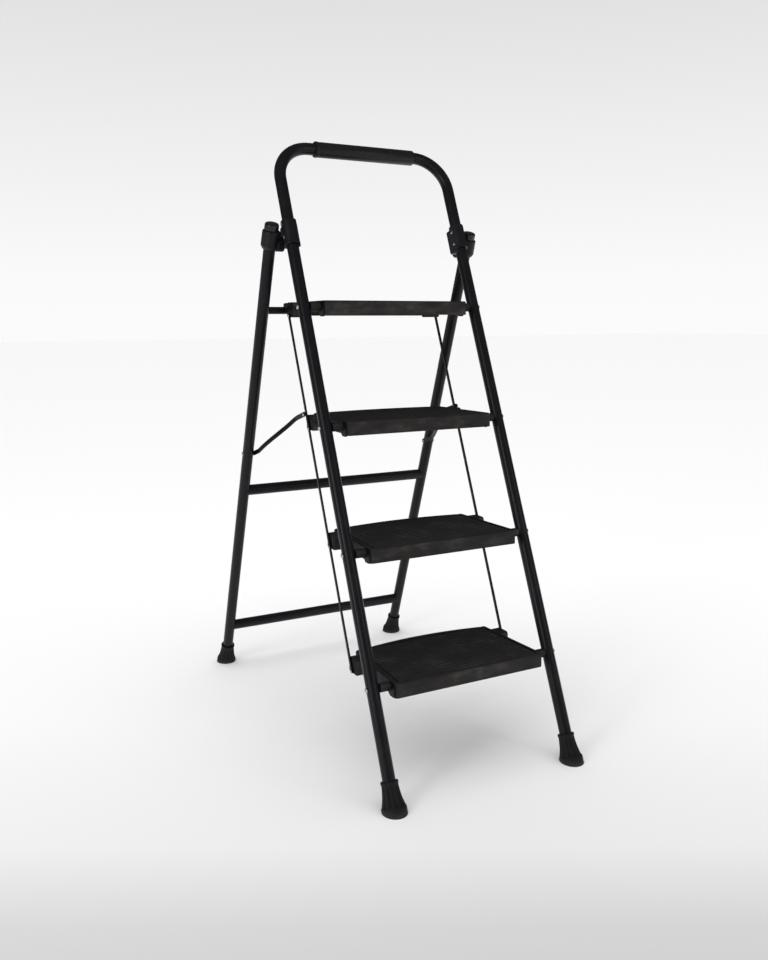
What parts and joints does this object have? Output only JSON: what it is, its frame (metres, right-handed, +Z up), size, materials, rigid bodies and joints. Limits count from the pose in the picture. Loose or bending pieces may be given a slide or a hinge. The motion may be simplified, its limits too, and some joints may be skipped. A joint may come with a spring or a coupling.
{
  "type": "folding stepladder",
  "caption": "Folding black steel stepladder with flat plastic treads, a bent-tube handrail with a hand grip, splayed rear legs and flared rubber feet.",
  "frame": {"origin": "on the floor, in the middle of the footprint of the open ladder", "axes": "+X across the ladder, to the right of someone facing it to climb; +Y from the climbing side to the back; +Z up"},
  "size_m": [0.5754, 0.9734, 1.3388],
  "materials": {
    "black_tube": "satin black powder coat",
    "grip": "satin moulded plastic",
    "foot_rubber": "matt black rubber",
    "hinge_plastic": "satin moulded plastic",
    "cap_plastic": "glossy moulded plastic",
    "step_plastic": "matt ribbed plastic",
    "strip_steel": "dark coated steel strip",
    "zinc": "zinc plated"
  },
  "bodies": {
    "front_frame": {"front_frame_tube": "black_tube", "hand_grip": "grip", "front_foot_left": "foot_rubber", "front_foot_right": "foot_rubber", "hinge_sleeve_left": "hinge_plastic", "hinge_pin_left": "zinc", "hinge_rivet_left_1": "zinc", "hinge_rivet_left_2": "zinc", "hinge_sleeve_right": "hinge_plastic", "hinge_pin_right": "zinc", "hinge_rivet_right_1": "zinc", "hinge_rivet_right_2": "zinc", "step_1_pivot_bolt_left": "zinc", "step_1_pivot_bolt_right": "zinc", "step_2_pivot_bolt_left": "zinc", "step_2_pivot_bolt_right": "zinc", "step_3_pivot_bolt_left": "zinc", "step_3_pivot_bolt_right": "zinc", "step_4_pivot_bolt_left": "zinc", "step_4_pivot_bolt_right": "zinc"},
    "rear_frame": {"rear_leg_left": "black_tube", "rear_leg_right": "black_tube", "rear_cross_bar_middle": "black_tube", "rear_cross_bar_low": "black_tube", "step_rest_bar": "black_tube", "rear_foot_left": "foot_rubber", "hinge_collar_left": "hinge_plastic", "rear_leg_cap_left": "cap_plastic", "lift_link_leg_rivet_left": "zinc", "rear_foot_right": "foot_rubber", "hinge_collar_right": "hinge_plastic", "rear_leg_cap_right": "cap_plastic", "lift_link_leg_rivet_right": "zinc"},
    "tread_1": {"step_1": "step_plastic", "step_1_bar_pin_left": "zinc", "step_1_bar_pin_right": "zinc"},
    "tread_2": {"step_2": "step_plastic", "step_2_bar_pin_left": "zinc", "step_2_bar_pin_right": "zinc"},
    "tread_3": {"step_3": "step_plastic", "step_3_bar_pin_left": "zinc", "step_3_bar_pin_right": "zinc"},
    "tread_4": {"step_4": "step_plastic", "step_4_bar_pin_left": "zinc", "step_4_bar_pin_right": "zinc"},
    "side_bars": {"side_bar_left": "strip_steel", "side_bar_right": "strip_steel"},
    "lift_links": {"lift_link_left": "strip_steel", "lift_link_bar_rivet_left": "zinc", "lift_link_right": "strip_steel", "lift_link_bar_rivet_right": "zinc"}
  },
  "joints": [
    {"name": "rear_fold", "type": "hinge", "parent": "front_frame", "child": "rear_frame", "pos_m": [0, 0.04037, 1.105], "axis": [1, 0, 0], "range_deg": [-43, 0]},
    {"name": "step_1_fold", "type": "hinge", "parent": "front_frame", "child": "tread_1", "pos_m": [0, -0.36809, 0.217], "axis": [1, 0, 0], "range_deg": [0, 66]},
    {"name": "step_2_fold", "type": "hinge", "parent": "front_frame", "child": "tread_2", "pos_m": [0, -0.26334, 0.467], "axis": [1, 0, 0], "range_deg": [0, 66]},
    {"name": "step_3_fold", "type": "hinge", "parent": "front_frame", "child": "tread_3", "pos_m": [0, -0.15859, 0.717], "axis": [1, 0, 0], "range_deg": [0, 66]},
    {"name": "step_4_fold", "type": "hinge", "parent": "front_frame", "child": "tread_4", "pos_m": [0, -0.05384, 0.967], "axis": [1, 0, 0], "range_deg": [0, 66]},
    {"name": "side_bar_swing", "type": "hinge", "parent": "tread_4", "child": "side_bars", "pos_m": [0, 0.08604, 0.95], "axis": [1, 0, 0], "range_deg": [-66, 0]},
    {"name": "lift_link_swing", "type": "hinge", "parent": "rear_frame", "child": "lift_links", "pos_m": [0, 0.22542, 0.617], "axis": [1, 0, 0], "range_deg": [-39.6, 0]}
  ],
  "couplings": [
    {"joint": "step_1_fold", "follows": "rear_fold", "ratio": -1.5348},
    {"joint": "step_2_fold", "follows": "rear_fold", "ratio": -1.5348},
    {"joint": "step_3_fold", "follows": "rear_fold", "ratio": -1.5348},
    {"joint": "step_4_fold", "follows": "rear_fold", "ratio": -1.5348},
    {"joint": "side_bar_swing", "follows": "rear_fold", "ratio": 1.5348},
    {"joint": "lift_link_swing", "follows": "rear_fold", "ratio": 0.919}
  ]
}
